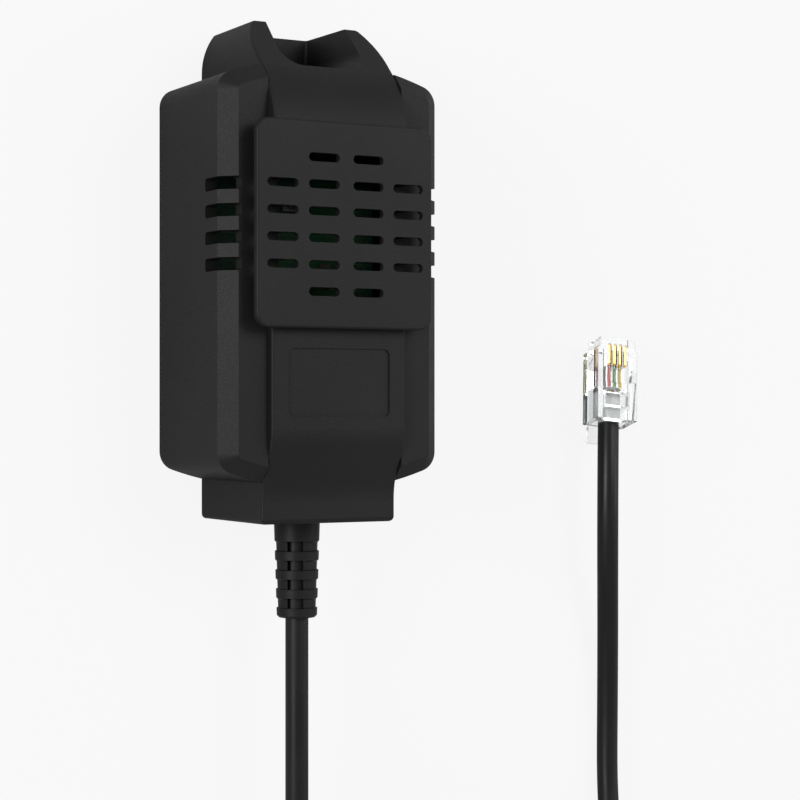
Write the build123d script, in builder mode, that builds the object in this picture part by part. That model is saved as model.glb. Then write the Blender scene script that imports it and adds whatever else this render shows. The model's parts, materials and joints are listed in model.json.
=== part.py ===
# Temperature and humidity sensor with a corded lead and a four-way modular plug.
# The sensor lies on its back: +X is its right, +Y runs from the cord's neck to the hanging ear,
# +Z is its front, and Z = 0 is the surface that it lies on. The origin is under its middle.
# All lengths are in millimetres and heights in the first groups are measured from the neck's foot.

import os
from math import cos, pi, radians, sin, sqrt, tan

from build123d import *

os.makedirs("parts", exist_ok=True)

# Housing, outside
overall_height = 78.0       # from the foot of the neck to the ridge of the ear
body_width = 37.5
body_depth = 25.05
body_low = 5.05             # lowest point of the body's crowned bottom
ear_rise = 6.7              # how far the ear stands over the body
crown_radius = 50.0
corner_radius = 3.1
front_chamfer = 2.4
strap_width = 22.9          # strap, neck and ear are one width
neck_set_back = 2.25        # the neck's front lies this far behind the body's
neck_straight = 3.4         # where the neck's front starts to swing out to the strap
strap_start = 14.5          # where the strap's front is straight
strap_rise = 1.25           # the strap's front over the body's
shoulder_drop = 8.1         # from the ridge to where the ear's sloping front meets the strap's round
shoulder_set_back = 2.45
shoulder_radius = 18.0
ear_slope = 45.0
ear_side_drop = 6.5         # from the ridge to where the ear's sides start to draw in
ear_radius = 10.3
ridge_radius = 0.9
strap_edge_radius = 0.4
foot_radius = 0.8

# Pocket of the ear and the hole for a nail
pocket_back_width = 12.7
pocket_drop = 6.8           # from the ridge to the pocket's floor
pocket_corner = 2.4
pocket_draft = 2.6
pocket_root = 0.6           # round between the pocket's back and its sides
ear_wall = 2.0
hanger_radius = 1.75
hanger_drop = 3.1

# Housing, inside
wall = 1.6
crown_wall = 2.6
neck_wall = 1.8
cover_thickness = 2.0
rebate_rim = 0.9
cover_gap = 0.12
strap_hollow_width = 19.7
strap_hollow_low = 17.0
strap_hollow_drop = 18.0
overrun = 1.0

# Vent panel and its slots
panel_width = 29.9
panel_height = 31.3
panel_drop = 32.6           # from the ridge to the panel's middle
panel_thickness = 1.1
panel_rise = 3.49           # the panel's front over the body's
panel_corner = 2.0
panel_edge_radius = 0.4
vent_window_height = 22.6   # window in the strap under the panel
seat_inset = 1.6            # the strap's seat stops this far inside the panel's lower edge
slot_length = 5.2
slot_height = 1.34
slot_pitch = 4.05
slot_inner = 3.77           # distance of the two inner columns from the middle
slot_outer = 10.69
side_vent_height = 1.97
side_vent_depth = 6.95      # how far a side vent runs back from the body's front
side_vent_reach = 2.85      # how far a side vent runs in from the side
side_vent_radius = 0.5
peg_radius = 0.9
peg_depth = 0.9
peg_gap = 0.05

# Label recess
label_width = 17.3
label_height = 10.4
label_middle = 21.6
label_corner = 1.0
label_depth = 0.25

# Screws
screw_radius = 1.0
screw_head_radius = 1.9
screw_head_height = 1.1
screw_head_edge = 0.3
screw_tip = 0.5
screw_cross_width = 0.45
screw_cross_length = 2.2
screw_cross_depth = 0.6
screw_gap = 0.05
cover_screw_length = 7.0
cover_screw_recess = 1.2
board_screw_length = 5.0
clamp_screw_length = 7.0
boss_radius = 2.5
cover_screw_inset = 4.85    # from the body's side
cover_screw_low = 14.2
cover_screw_drop = 16.4

# Board
board_side_gap = 3.55       # from the board's edge to the body's outside
board_low = 20.0
board_drop = 19.0
board_thickness = 1.2
board_back = 7.2
board_corner = 1.2
board_post_radius = 2.2
board_post_inset = 2.6      # from the board's sides
board_post_end_inset = 2.8  # from its ends
board_pin_radius = 0.8
board_pin_gap = 0.1
board_slit = 1.0
board_slit_size = 7.0       # width and height of the slit that keeps warmth from the humidity chip

# Pieces on the board
humidity_size = 3.0
humidity_height = 1.1
humidity_inset = 8.4        # from the board's top edge
filter_radius = 1.1
filter_height = 0.35
controller_length = 4.9
controller_width = 3.9
controller_height = 1.5
controller_inset = 17.0     # from the board's lower edge
controller_leads = 4        # on each side
lead_width = 0.4
lead_reach = 1.0
lead_thickness = 0.25
lead_pitch = 1.27
lead_level = 0.7
chip_length = 1.6
chip_width = 0.8
chip_height = 0.6
chip_cap_length = 0.3
chip_cap_step = 0.04
chip_column = 6.4
chip_pitch = 3.2
chip_inset = 11.0

# Wire header, wire plug and cores
way_pitch = 2.0
ways = 4
header_width = 10.6
header_inset = 0.4          # from the board's lower edge
header_length = 6.2
header_wall = 0.7
header_back_wall = 1.6
pin_size = 0.5
pin_reach = 2.0
pin_board_gap = 0.1
wire_plug_gap = 0.1
wire_plug_stand_out = 2.2
core_radius = 0.44
core_pitch = 0.92
core_straight = 1.0

# Cable, clamp and boot
cable_diameter = 3.7
jacket_end = 11.2
clamp_low = 4.6
clamp_length = 4.4
clamp_width = 14.0
clamp_thickness = 2.4
clamp_split = 0.4
clamp_gap = 0.03
clamp_screw_x = 4.6
boot_bore_gap = 0.03
boot_waist_radius = 2.65
boot_flange_radius = 3.9
boot_flange_thickness = 1.7
boot_wall_gap = 0.05
boot_top_radius = 3.66
boot_end_radius = 3.2
boot_collar = 3.25
boot_groove = 1.65
boot_ring = 1.35
boot_end_ring = 1.5
boot_grooves = 4
boot_groove_depth = 0.26
boot_core_radius = 2.3
boot_window_width = 2.5
boot_window_turn = 31.0     # the moulded windows face this far to the left of the front
boot_end_edge = 0.35

# Modular plug
plug_width = 7.65
plug_length = 14.5
plug_height = 6.5
plug_edge_radius = 0.3
plug_nose_length = 1.7
plug_nose_inset = 0.4
plug_nose_rise = 1.2
plug_entry_width = 5.4
plug_entry_height = 4.1
plug_entry_depth = 6.0
plug_entry_floor = 0.6
plug_window_length = 3.2
plug_window_width = 4.6
plug_window_start = 1.9
plug_bar_length = 1.9
plug_bar_rise = 0.5
plug_pitch = 1.02
plug_wire_radius = 0.42
plug_wire_gap = 0.04
plug_wire_rise = 0.6        # how far the wires lie above the cable's middle
plug_wire_end = 13.0
contact_thickness = 0.5
contact_length = 3.9
contact_front = 0.9         # from the nose to the contacts
contact_recess = 0.3
contact_corner = 0.4
contact_gap = 0.04
comb_depth = 0.8            # depth of the hollow behind the contacts
comb_start = 6.6
latch_width = 3.2
latch_shoulder_width = 5.6
latch_shoulder_length = 2.0
latch_shoulder_start = 8.4
latch_thickness = 0.9
latch_tail = 2.3            # how far the latch's tail passes the cable's end
latch_drop = 3.7            # how far the tail stands off the body
latch_root = 1.4

# How the plug lies on the table, on its latch and one edge of its nose
plug_yaw = -9.0
plug_nose_down = 12.0
plug_roll = -11.2
plug_x = 63.7               # where its cable end lies
plug_y = -24.6

# Cord: straight out of the boot, over a tied coil and along the table to the plug.
# The coil is wound in layers, from the top one down, and all but its top layer have one turn more.
coil_x = 37.0
coil_y = -124.0
coil_radius = 20.5
coil_columns = 3
coil_layers = 4
coil_pitch = 3.8
coil_corner = 1.8
coil_entry_angle = 203.5
lead_knee_y = -101.0        # where the lead turns from the boot's line to the coil
tail_leave_y = -108.0       # where the tail starts to come down from the coil
tail_leave_height = 8.6
tail_land_y = -90.0         # where it comes to lie on the table
tail_land_height = 2.0
tail_rest_y = -66.0
tail_x = 66.1
plug_straight = 15.0        # the cord's last run, in line with the plug
tie_width = 4.0
tie_thickness = 0.5
tie_gap = 0.15
bend_share = 0.45           # share of the shorter run that a bend's tangent takes


# Worked out from the sizes above
foot = -overall_height / 2
neck_depth = body_depth - neck_set_back
strap_front = body_depth + strap_rise
shoulder_front = body_depth - shoulder_set_back
panel_front = body_depth + panel_rise
side_vent_back = body_depth - side_vent_depth
body_top = overall_height - ear_rise
body_middle = foot + (body_low + body_top) / 2
shoulder_height = overall_height - shoulder_drop
panel_middle = overall_height - panel_drop
board_width = body_width - 2 * board_side_gap
board_high = overall_height - board_drop
strap_half = strap_width / 2
cable_height = neck_depth / 2
cable_radius = cable_diameter / 2
panel_back = panel_front - panel_thickness
panel_y = foot + panel_middle
board_front = board_back + board_thickness
inner_front = body_depth - wall
boss_top = inner_front + wall / 2
header_depth = 2 * (cable_height - board_front)
header_low = board_low + header_inset
header_high = header_low + header_length
boot_length = (
    boot_collar + boot_grooves * boot_groove + (boot_grooves - 1) * boot_ring + boot_end_ring
)
boot_end = foot - boot_length
clamp_middle = foot + clamp_low + clamp_length / 2

# The strap's big round leaves the flat seat under the panel here
round_centre_y = foot + shoulder_height - shoulder_radius * sin(radians(ear_slope))
round_centre_z = shoulder_front - shoulder_radius * cos(radians(ear_slope))
seat_rise = panel_back - round_centre_z
seat_top = round_centre_y + sqrt(shoulder_radius**2 - seat_rise**2)
seat_low = panel_y - panel_height / 2 + seat_inset
round_middle_y = (seat_top + foot + shoulder_height) / 2 - round_centre_y
round_middle_z = sqrt(shoulder_radius**2 - round_middle_y**2)
ridge_front = shoulder_front - (overall_height - shoulder_height) / tan(radians(ear_slope))

# Places of what repeats. The two inner columns have six slots and the two outer ones four.
six_rows = [row - 2.5 for row in range(6)]
four_rows = six_rows[1:-1]
inner_slots = [
    (side * slot_inner, panel_y + row * slot_pitch) for row in six_rows for side in (-1, 1)
]
outer_slots = [
    (side * slot_outer, panel_y + row * slot_pitch) for row in four_rows for side in (-1, 1)
]
cover_screw_x = body_width / 2 - cover_screw_inset
cover_screw_places = [
    (side * cover_screw_x, foot + height)
    for height in (cover_screw_low, overall_height - cover_screw_drop)
    for side in (-1, 1)
]
post_x = board_width / 2 - board_post_inset
post_low_y = foot + board_low + board_post_end_inset
post_high_y = foot + board_high - board_post_end_inset
board_screw_places = [(-post_x, post_high_y), (post_x, post_low_y)]
board_pin_places = [(post_x, post_high_y), (-post_x, post_low_y)]
clamp_screw_places = [(-clamp_screw_x, clamp_middle), (clamp_screw_x, clamp_middle)]
peg_x = strap_half - 2 * peg_radius
peg_y = 3 * slot_pitch + peg_radius
peg_places = [(side * peg_x, panel_y + end * peg_y) for end in (-1, 1) for side in (-1, 1)]
way_places = [(way - (ways - 1) / 2) * way_pitch for way in range(ways)]


def save(piece, name, place=None):
    """Labels one finished piece, puts it in its place and writes it."""
    solid = piece if place is None else piece.moved(place)
    solid.label = name
    export_step(solid, f"parts/{name}.step")
    return solid


def body_outline(inset, crown_inset):
    """The body seen from the front: a box with a crowned bottom and top."""
    low = foot + body_low + crown_inset
    top = foot + body_top - crown_inset
    radius = crown_radius - crown_inset
    with BuildSketch() as outline:
        with Locations((0, (low + top) / 2)):
            Rectangle(body_width - 2 * inset, top - low)
        with Locations((0, top - radius)):
            Circle(radius, mode=Mode.INTERSECT)
        with Locations((0, low + radius)):
            Circle(radius, mode=Mode.INTERSECT)
        fillet(outline.vertices(), corner_radius - inset / 2)
    return outline.sketch


def cover_outline(inset):
    """The back cover's outline, which takes in the body and the neck."""
    neck_low = foot + inset
    neck_high = body_middle
    with BuildSketch() as outline:
        add(body_outlines[inset])
        with Locations((0, (neck_low + neck_high) / 2)):
            Rectangle(strap_width - 2 * inset, neck_high - neck_low)
    return outline.sketch


outer_outline = body_outline(0, 0)
cavity_outline = body_outline(wall, crown_wall)
cover_edge = rebate_rim + cover_gap
body_outlines = {inset: body_outline(inset, inset) for inset in (rebate_rim, cover_edge)}
rebate_outline = cover_outline(rebate_rim)
cover_plate_outline = cover_outline(cover_edge)


# Strap, neck and ear, drawn from the side
with BuildPart() as spine:
    with BuildSketch(Plane.YZ):
        with BuildLine():
            swing_y = foot + (neck_straight + strap_start) / 2
            swing_z = (neck_depth + strap_front) / 2
            front = Line((foot, neck_depth), (foot + neck_straight, neck_depth))
            swing_out = TangentArc(front @ 1, (swing_y, swing_z), tangent=(1, 0))
            swing_back = TangentArc(
                swing_out @ 1, (foot + strap_start, strap_front), tangent=swing_out % 1
            )
            seat_start = seat_low + panel_back - strap_front
            Polyline(
                swing_back @ 1, (seat_low, strap_front), (seat_start, panel_back), (seat_top, panel_back)
            )
            ThreePointArc(
                (seat_top, panel_back),
                (round_centre_y + round_middle_y, round_centre_z + round_middle_z),
                (foot + shoulder_height, shoulder_front),
            )
            Polyline(
                (foot + shoulder_height, shoulder_front),
                (foot + overall_height, ridge_front),
                (foot + overall_height, 0),
                (foot, 0),
                front @ 0,
            )
        make_face()
    extrude(amount=strap_half, both=True)
    ear_top = foot + overall_height - ear_side_drop + ear_radius
    with BuildSketch() as ear_outline:
        with Locations((0, (foot + ear_top) / 2)):
            Rectangle(strap_width, ear_top - foot)
        fillet(ear_outline.vertices().group_by(Axis.Y)[-1], ear_radius)
    extrude(amount=panel_front, mode=Mode.INTERSECT)
    ridge_edges = spine.edges().filter_by(Axis.Z).group_by(Axis.Y)[-1]
    fillet(ridge_edges, ridge_radius)
    foot_edges = spine.edges().group_by(Axis.Y)[0].sort_by(Axis.Z)[1:]
    fillet(foot_edges, foot_radius)
    rail_edges = [
        edge
        for edge in spine.edges().group_by(Axis.X)[0] + spine.edges().group_by(Axis.X)[-1]
        if edge.center().Z > cable_height and edge.center().Y < foot + shoulder_height
    ]
    fillet(rail_edges, strap_edge_radius)

# The space inside the housing
with BuildPart() as cavity:
    with BuildSketch(Plane.XY.offset(cover_thickness)):
        add(cavity_outline)
    extrude(amount=inner_front - cover_thickness)
    chamfer(cavity.faces().sort_by(Axis.Z)[-1].edges(), front_chamfer - wall / 2)
    neck_low = foot + neck_wall
    neck_high = foot + body_low + 2 * crown_wall
    with BuildSketch(Plane.XY.offset(cover_thickness)):
        with Locations((0, (neck_low + neck_high) / 2)):
            Rectangle(strap_width - 2 * neck_wall, neck_high - neck_low)
    extrude(amount=neck_depth - neck_wall - cover_thickness)
    with BuildSketch(Plane.XY.offset(board_front)):
        strap_hollow_high = overall_height - strap_hollow_drop
        with Locations((0, foot + (strap_hollow_low + strap_hollow_high) / 2)):
            Rectangle(strap_hollow_width, strap_hollow_high - strap_hollow_low)
    extrude(amount=body_depth - board_front)

# The ear's pocket, which runs out through the ridge
with BuildPart() as pocket:
    with BuildSketch(Plane.XY.offset(ear_wall)) as pocket_back:
        with Locations((0, foot + overall_height - pocket_drop)):
            Rectangle(pocket_back_width, 2 * pocket_drop, align=(Align.CENTER, Align.MIN))
        fillet(pocket_back.vertices().group_by(Axis.Y)[0], pocket_corner)
    extrude(amount=shoulder_front, taper=-pocket_draft)
    fillet(pocket.faces().sort_by(Axis.Z)[0].edges(), pocket_root)

# One side vent's cut, at the right of the lowest row: it wraps round the body's front edge
with BuildPart() as side_vent:
    vent_x = body_width / 2 - side_vent_reach
    with Locations((vent_x, 0, side_vent_back)):
        Box(
            side_vent_reach + overrun,
            side_vent_height,
            body_depth + overrun - side_vent_back,
            align=(Align.MIN, Align.CENTER, Align.MIN),
        )
    fillet(side_vent.edges().filter_by(Axis.Z).group_by(Axis.X)[0], side_vent_radius)
    fillet(side_vent.edges().filter_by(Axis.X).group_by(Axis.Z)[0], side_vent_radius)

# Front shell: body, strap, neck and ear in one moulding
with BuildPart() as front_shell:
    add(outer_outline)
    extrude(amount=body_depth)
    chamfer(front_shell.faces().sort_by(Axis.Z)[-1].edges(), front_chamfer)
    with Locations((0, body_middle, body_depth)):
        Box(strap_width, overall_height, 2 * body_depth, mode=Mode.SUBTRACT)
    add(spine.part)
    add(cavity.part, mode=Mode.SUBTRACT)
    add(rebate_outline)
    extrude(amount=cover_thickness, mode=Mode.SUBTRACT)

    # Slot in the neck's foot for the boot, open to the back
    with BuildSketch():
        with Locations((0, foot)):
            Rectangle(2 * (boot_waist_radius + boot_wall_gap), 2 * (neck_wall + overrun))
    extrude(amount=cable_height, mode=Mode.SUBTRACT)
    with Locations(Location((0, foot, cable_height), (90, 0, 0))):
        Cylinder(
            boot_waist_radius + boot_wall_gap,
            2 * (neck_wall + overrun),
            mode=Mode.SUBTRACT,
        )

    # Pocket of the ear and the hole for a nail
    add(pocket.part, mode=Mode.SUBTRACT)
    with Locations((0, foot + overall_height - hanger_drop, 0)):
        Cylinder(hanger_radius, 2 * (ear_wall + overrun), mode=Mode.SUBTRACT)

    # Bosses for the cover's screws, posts for the board and the saddle of the cable clamp
    with BuildSketch(Plane.XY.offset(cover_thickness)):
        with Locations(*cover_screw_places):
            Circle(boss_radius)
    extrude(amount=boss_top - cover_thickness)
    with BuildSketch(Plane.XY.offset(board_front)):
        with Locations(*board_screw_places, *board_pin_places):
            Circle(board_post_radius)
    extrude(amount=boss_top - board_front)
    with BuildSketch(Plane.XY.offset(board_back)):
        with Locations(*board_pin_places):
            Circle(board_pin_radius)
    extrude(amount=board_thickness)
    with BuildSketch(Plane.XY.offset(cable_height + clamp_split / 2)):
        with Locations((0, clamp_middle)):
            Rectangle(clamp_width, clamp_length)
    extrude(amount=neck_depth - neck_wall / 2 - cable_height - clamp_split / 2)

    # Screw holes and the cable's groove
    with BuildSketch():
        with Locations(*cover_screw_places):
            Circle(screw_radius + screw_gap)
    extrude(amount=cover_screw_recess + cover_screw_length + overrun, mode=Mode.SUBTRACT)
    with BuildSketch(Plane.XY.offset(board_back)):
        with Locations(*board_screw_places):
            Circle(screw_radius + screw_gap)
    extrude(amount=board_screw_length + overrun, mode=Mode.SUBTRACT)
    with BuildSketch(Plane.XY.offset(cable_height)):
        with Locations(*clamp_screw_places):
            Circle(screw_radius + screw_gap)
    extrude(amount=clamp_screw_length - clamp_thickness + overrun, mode=Mode.SUBTRACT)
    with Locations(Location((0, clamp_middle, cable_height), (90, 0, 0))):
        Cylinder(cable_radius + clamp_gap, clamp_length + 2 * overrun, mode=Mode.SUBTRACT)

    # Vents, peg holes and the label's recess
    with BuildSketch(Plane.XY.offset(body_depth)):
        with Locations((0, panel_y)):
            Rectangle(strap_hollow_width, vent_window_height)
        with Locations(*outer_slots):
            SlotOverall(slot_length, slot_height)
    extrude(amount=panel_front - body_depth, mode=Mode.SUBTRACT)
    with Locations(*[(0, panel_y + row * slot_pitch, 0) for row in four_rows]):
        add(side_vent.part, mode=Mode.SUBTRACT)
    with Locations(*[(0, panel_y + row * slot_pitch, 0) for row in four_rows]):
        add(side_vent.part.mirror(Plane.YZ), mode=Mode.SUBTRACT)
    with BuildSketch(Plane.XY.offset(panel_back - peg_depth - peg_gap)):
        with Locations(*peg_places):
            Circle(peg_radius + peg_gap)
    extrude(amount=peg_depth + overrun, mode=Mode.SUBTRACT)
    with BuildSketch(Plane.XY.offset(strap_front - label_depth)):
        with Locations((0, foot + label_middle)):
            RectangleRounded(label_width, label_height, label_corner)
    extrude(amount=label_depth + overrun, mode=Mode.SUBTRACT)
save(front_shell.part, "front_shell")

# Vent panel: a slotted plate on four pegs, proud of the strap
with BuildPart() as vent_panel:
    with BuildSketch(Plane.XY.offset(panel_back)):
        with Locations((0, panel_y)):
            RectangleRounded(panel_width, panel_height, panel_corner)
    extrude(amount=panel_thickness)
    fillet(vent_panel.faces().sort_by(Axis.Z)[-1].edges(), panel_edge_radius)
    with BuildSketch(Plane.XY.offset(panel_back)):
        with Locations(*inner_slots, *outer_slots):
            SlotOverall(slot_length, slot_height)
    extrude(amount=panel_thickness, mode=Mode.SUBTRACT)
    with BuildSketch(Plane.XY.offset(panel_back - peg_depth)):
        with Locations(*peg_places):
            Circle(peg_radius)
    extrude(amount=peg_depth)
save(vent_panel.part, "vent_panel")

# Back cover: a plate let into the housing, with a tongue that closes the boot's slot
with BuildPart() as back_cover:
    add(cover_plate_outline)
    extrude(amount=cover_thickness)
    with BuildSketch() as tongue:
        with Locations((0, foot)):
            Rectangle(2 * boot_waist_radius, neck_wall, align=(Align.CENTER, Align.MIN))
    extrude(amount=cable_height)
    with BuildSketch() as tongue_root:
        with Locations((0, foot)):
            Rectangle(2 * boot_waist_radius, cover_edge + overrun, align=(Align.CENTER, Align.MIN))
    extrude(amount=cover_thickness)
    with Locations(Location((0, foot, cable_height), (90, 0, 0))):
        Cylinder(boot_waist_radius + boot_wall_gap, 2 * (neck_wall + overrun), mode=Mode.SUBTRACT)
    with BuildSketch():
        with Locations(*cover_screw_places):
            Circle(screw_head_radius + 2 * screw_gap)
    extrude(amount=cover_screw_recess, mode=Mode.SUBTRACT)
    with BuildSketch():
        with Locations(*cover_screw_places):
            Circle(screw_radius + screw_gap)
    extrude(amount=cover_thickness, mode=Mode.SUBTRACT)
save(back_cover.part, "back_cover")


def pan_screw(name, length, place, height):
    """One screw pointing up, with its head's underside at the given height."""
    with BuildPart(Plane((*place, height))) as screw:
        Cylinder(screw_head_radius, screw_head_height, align=(Align.CENTER, Align.CENTER, Align.MAX))
        fillet(screw.edges().group_by(Axis.Z)[0], screw_head_edge)
        Cylinder(screw_radius, length, align=(Align.CENTER, Align.CENTER, Align.MIN))
        chamfer(screw.edges().group_by(Axis.Z)[-1], screw_tip)
        with Locations((0, 0, -screw_head_height)):
            Box(screw_cross_length, screw_cross_width, 2 * screw_cross_depth, mode=Mode.SUBTRACT)
            Box(screw_cross_width, screw_cross_length, 2 * screw_cross_depth, mode=Mode.SUBTRACT)
    save(screw.part, name)


for number, place in enumerate(cover_screw_places, 1):
    pan_screw(f"cover_screw_{number}", cover_screw_length, place, cover_screw_recess)
for number, place in enumerate(board_screw_places, 1):
    pan_screw(f"board_screw_{number}", board_screw_length, place, board_back)
clamp_low_face = cable_height - clamp_split / 2 - clamp_thickness
for number, place in enumerate(clamp_screw_places, 1):
    pan_screw(f"clamp_screw_{number}", clamp_screw_length, place, clamp_low_face)

# Cable clamp: a bar with a groove that presses the cable into the saddle
with BuildPart() as cable_clamp:
    with BuildSketch(Plane.XY.offset(clamp_low_face)):
        with Locations((0, clamp_middle)):
            RectangleRounded(clamp_width, clamp_length, clamp_length / 4)
        with Locations(*clamp_screw_places):
            Circle(screw_radius + screw_gap, mode=Mode.SUBTRACT)
    extrude(amount=clamp_thickness)
    with Locations(Location((0, clamp_middle, cable_height), (90, 0, 0))):
        Cylinder(cable_radius + clamp_gap, clamp_length + 2 * overrun, mode=Mode.SUBTRACT)
save(cable_clamp.part, "cable_clamp")

# Circuit board, slit round the humidity chip so that the board's warmth stays off it
board_y = foot + (board_low + board_high) / 2
humidity_y = foot + board_high - humidity_inset
controller_y = foot + board_low + controller_inset
chip_y = foot + board_low + chip_inset
header_y = foot + (header_low + header_high) / 2
pin_y = foot + header_high + pin_reach
with BuildPart() as circuit_board:
    with BuildSketch(Plane.XY.offset(board_back)):
        with Locations((0, board_y)):
            RectangleRounded(board_width, board_high - board_low, board_corner)
        with Locations(*board_screw_places):
            Circle(screw_radius + screw_gap, mode=Mode.SUBTRACT)
        with Locations(*board_pin_places):
            Circle(board_pin_radius + board_pin_gap, mode=Mode.SUBTRACT)
        with Locations(*[(x, pin_y) for x in way_places]):
            Circle(pin_size / sqrt(2) + pin_board_gap, mode=Mode.SUBTRACT)
        with Locations((-board_slit_size / 2, humidity_y), (board_slit_size / 2, humidity_y)):
            Rectangle(board_slit, board_slit_size, mode=Mode.SUBTRACT)
        with Locations((0, humidity_y - board_slit_size / 2)):
            Rectangle(board_slit_size + board_slit, board_slit, mode=Mode.SUBTRACT)
    extrude(amount=board_thickness)
save(circuit_board.part, "circuit_board")

# Humidity chip and the round filter over its opening
with BuildPart(Plane((0, humidity_y, board_front))) as humidity_chip:
    Box(humidity_size, humidity_size, humidity_height, align=(Align.CENTER, Align.CENTER, Align.MIN))
save(humidity_chip.part, "humidity_chip")
with BuildPart(Plane((0, humidity_y, board_front + humidity_height))) as chip_filter_cap:
    Cylinder(filter_radius, filter_height, align=(Align.CENTER, Align.CENTER, Align.MIN))
save(chip_filter_cap.part, "chip_filter_cap")

# Controller chip with bent leads along both long sides
with BuildPart(Plane((0, controller_y, board_front))) as controller_chip:
    with Locations((0, 0, lead_thickness)):
        Box(
            controller_width,
            controller_length,
            controller_height,
            align=(Align.CENTER, Align.CENTER, Align.MIN),
        )
    lead_plane = Plane((0, controller_y, board_front), x_dir=(1, 0, 0), z_dir=(0, -1, 0))
    edge_x = controller_width / 2
    knee_x = edge_x + lead_reach / 2
    for lead in range(controller_leads):
        lead_y = (lead - (controller_leads - 1) / 2) * lead_pitch
        for side in (-1, 1):
            with BuildSketch(lead_plane.offset(lead_y - lead_width / 2)):
                with BuildLine():
                    Polyline(
                        (side * edge_x, lead_level),
                        (side * knee_x, lead_level),
                        (side * knee_x, 0),
                        (side * (edge_x + lead_reach), 0),
                        (side * (edge_x + lead_reach), lead_thickness),
                        (side * (knee_x + lead_thickness), lead_thickness),
                        (side * (knee_x + lead_thickness), lead_level + lead_thickness),
                        (side * edge_x, lead_level + lead_thickness),
                        close=True,
                    )
                make_face()
            extrude(amount=lead_width)
save(controller_chip.part, "controller_chip")


def chip_part(name, x, y):
    """A small ceramic part on the board, with a metal cap at each end."""
    cap_x = (chip_length - chip_cap_length) / 2
    with BuildPart(Plane((x, y, board_front))) as chip:
        Box(
            chip_length,
            chip_width - 2 * chip_cap_step,
            chip_height - chip_cap_step,
            align=(Align.CENTER, Align.CENTER, Align.MIN),
        )
        with Locations((-cap_x, 0, 0), (cap_x, 0, 0)):
            Box(
                chip_cap_length,
                chip_width,
                chip_height,
                align=(Align.CENTER, Align.CENTER, Align.MIN),
            )
    save(chip.part, name)


for number in range(1, 4):
    chip_part(f"chip_capacitor_{number}", -chip_column, chip_y + (number - 1) * chip_pitch)
for number in range(1, 5):
    chip_part(f"chip_resistor_{number}", chip_column, chip_y + (number - 1) * chip_pitch)

# Wire header: a box on the board's front, open towards the neck, with four bent pins
with BuildPart(Plane((0, header_y, cable_height))) as wire_header:
    Box(header_width, header_length, header_depth)
    with Locations((0, -header_back_wall / 2, 0)):
        Box(
            header_width - 2 * header_wall,
            header_length - header_back_wall,
            header_depth - 2 * header_wall,
            mode=Mode.SUBTRACT,
        )
    with Locations(*[(x, 0, 0) for x in way_places]):
        Box(pin_size + 2 * pin_board_gap, header_length, pin_size + 2 * pin_board_gap, mode=Mode.SUBTRACT)
save(wire_header.part, "wire_header")

pin_start = foot + header_high - header_back_wall - pin_reach
with BuildPart() as header_pins:
    for x in way_places:
        with BuildSketch(Plane.YZ.offset(x - pin_size / 2)):
            with BuildLine():
                Polyline(
                    (pin_start, cable_height + pin_size / 2),
                    (pin_y + pin_size / 2, cable_height + pin_size / 2),
                    (pin_y + pin_size / 2, board_back),
                    (pin_y - pin_size / 2, board_back),
                    (pin_y - pin_size / 2, cable_height - pin_size / 2),
                    (pin_start, cable_height - pin_size / 2),
                    close=True,
                )
            make_face()
        extrude(amount=pin_size)
save(header_pins.part, "header_pins")

# Wire plug that sits in the header, and the four cores that run to it from the jacket's end
wire_plug_front = foot + header_high - header_back_wall - wire_plug_gap
wire_plug_back = foot + header_low - wire_plug_stand_out
wire_plug_length = wire_plug_front - wire_plug_back
with BuildPart(Plane((0, (wire_plug_front + wire_plug_back) / 2, cable_height))) as wire_plug:
    Box(
        header_width - 2 * header_wall - 2 * wire_plug_gap,
        wire_plug_length,
        header_depth - 2 * header_wall - 2 * wire_plug_gap,
    )
    with Locations(*[(x, wire_plug_length / 2, 0) for x in way_places]):
        Box(
            pin_size + 2 * pin_board_gap,
            2 * (pin_reach + pin_board_gap),
            pin_size + 2 * pin_board_gap,
            mode=Mode.SUBTRACT,
        )
save(wire_plug.part, "wire_plug")

jacket_y = foot + jacket_end
for number, x in enumerate(way_places, 1):
    start_x = x / way_pitch * core_pitch
    knee = core_straight
    core_run = wire_plug_back - jacket_y - 2 * knee
    slant = sqrt((x - start_x) ** 2 + core_run**2)
    half_turn = Vector(0, 1).get_angle(Vector(x - start_x, core_run)) / 2
    core_bend = bend_share * min(knee, slant) / tan(radians(half_turn))
    with BuildPart() as core_wire:
        with BuildLine() as core_path:
            FilletPolyline(
                (start_x, jacket_y, cable_height),
                (start_x, jacket_y + knee, cable_height),
                (x, wire_plug_back - knee, cable_height),
                (x, wire_plug_back, cable_height),
                radius=core_bend,
            )
        with BuildSketch(Plane((start_x, jacket_y, cable_height), z_dir=(0, 1, 0))):
            Circle(core_radius)
        sweep(path=core_path.line)
    save(core_wire.part, f"core_wire_{number}")

# Cord boot: a collar, four waisted grooves with a window on two sides, and a flange inside the wall
boot_plane = Plane((0, foot, cable_height), x_dir=(1, 0, 0), z_dir=(0, 0, 1))
boot_axis = Axis((0, foot, cable_height), (0, 1, 0))


def boot_radius(distance):
    """Radius of the boot's rings at a distance from the neck's foot."""
    return boot_top_radius + (boot_end_radius - boot_top_radius) * distance / boot_length


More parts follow.
